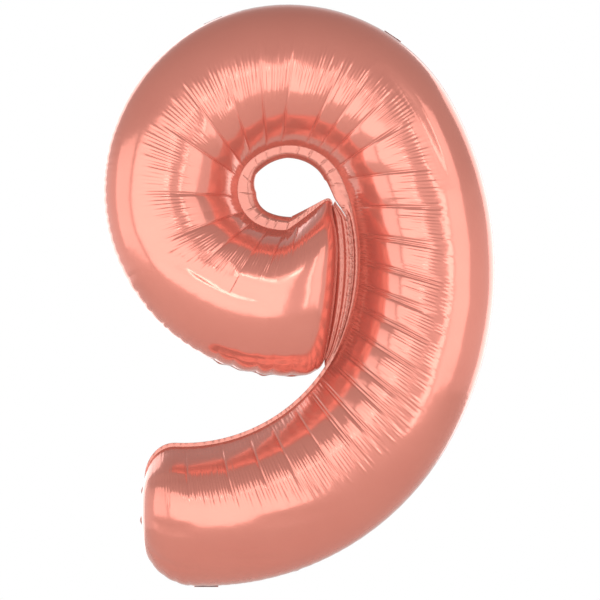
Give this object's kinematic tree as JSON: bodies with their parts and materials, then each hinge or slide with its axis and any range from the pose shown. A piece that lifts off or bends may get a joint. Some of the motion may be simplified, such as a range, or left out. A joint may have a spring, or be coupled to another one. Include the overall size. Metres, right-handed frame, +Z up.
{
  "type": "foil number balloon",
  "caption": "Inflated metallised foil balloon in the shape of a figure, with folded hanging ears and a folded filling neck at its foot.",
  "frame": {"origin": "below the middle of the figure, at its lowest point", "axes": "+Z up the figure, front towards -Y, +X to the right seen from the front"},
  "size_m": [0.5784, 0.18, 0.8577],
  "materials": {
    "rose_gold_foil": "mirror-like metallised film, lacquered rose gold",
    "clear_film": "clear soft polyethylene film"
  },
  "bodies": {
    "envelope": {"front_foil_panel": "rose_gold_foil", "back_foil_panel": "rose_gold_foil"},
    "valve_front": {"valve_front_film": "clear_film"},
    "valve_back": {"valve_back_film": "clear_film"},
    "fill_neck": {"neck_front_ply": "rose_gold_foil", "neck_back_ply": "rose_gold_foil", "neck_front_film": "clear_film", "neck_back_film": "clear_film"},
    "hang_ear_left": {"ear_left_front_ply": "rose_gold_foil", "ear_left_back_ply": "rose_gold_foil"},
    "hang_ear_right": {"ear_right_front_ply": "rose_gold_foil", "ear_right_back_ply": "rose_gold_foil"}
  },
  "joints": [
    {"name": "hang_ear_left_fold", "type": "hinge", "parent": "envelope", "child": "hang_ear_left", "pos_m": [-0.12666, 0.00453, 0.83403], "axis": [0.9135, 0, 0.4067], "range_deg": [0, 150]},
    {"name": "hang_ear_right_fold", "type": "hinge", "parent": "envelope", "child": "hang_ear_right", "pos_m": [0.13811, 0.00453, 0.81087], "axis": [0.829, 0, -0.5592], "range_deg": [0, 150]},
    {"name": "fill_neck_fold", "type": "hinge", "parent": "envelope", "child": "fill_neck", "pos_m": [-0.13683, 0.00453, 0.0011], "axis": [-1, 0, 0], "range_deg": [0, 150]},
    {"name": "valve_front_lip", "type": "hinge", "parent": "envelope", "child": "valve_front", "pos_m": [-0.13683, -0.00025, 0.00441], "axis": [1, 0, 0], "range_deg": [0, 5], "stiffness_Nm_per_rad": 0.0002},
    {"name": "valve_back_lip", "type": "hinge", "parent": "envelope", "child": "valve_back", "pos_m": [-0.13683, 0.00025, 0.00441], "axis": [1, 0, 0], "range_deg": [-5, 0]}
  ],
  "couplings": [
    {"joint": "valve_back_lip", "follows": "valve_front_lip", "ratio": -1}
  ]
}
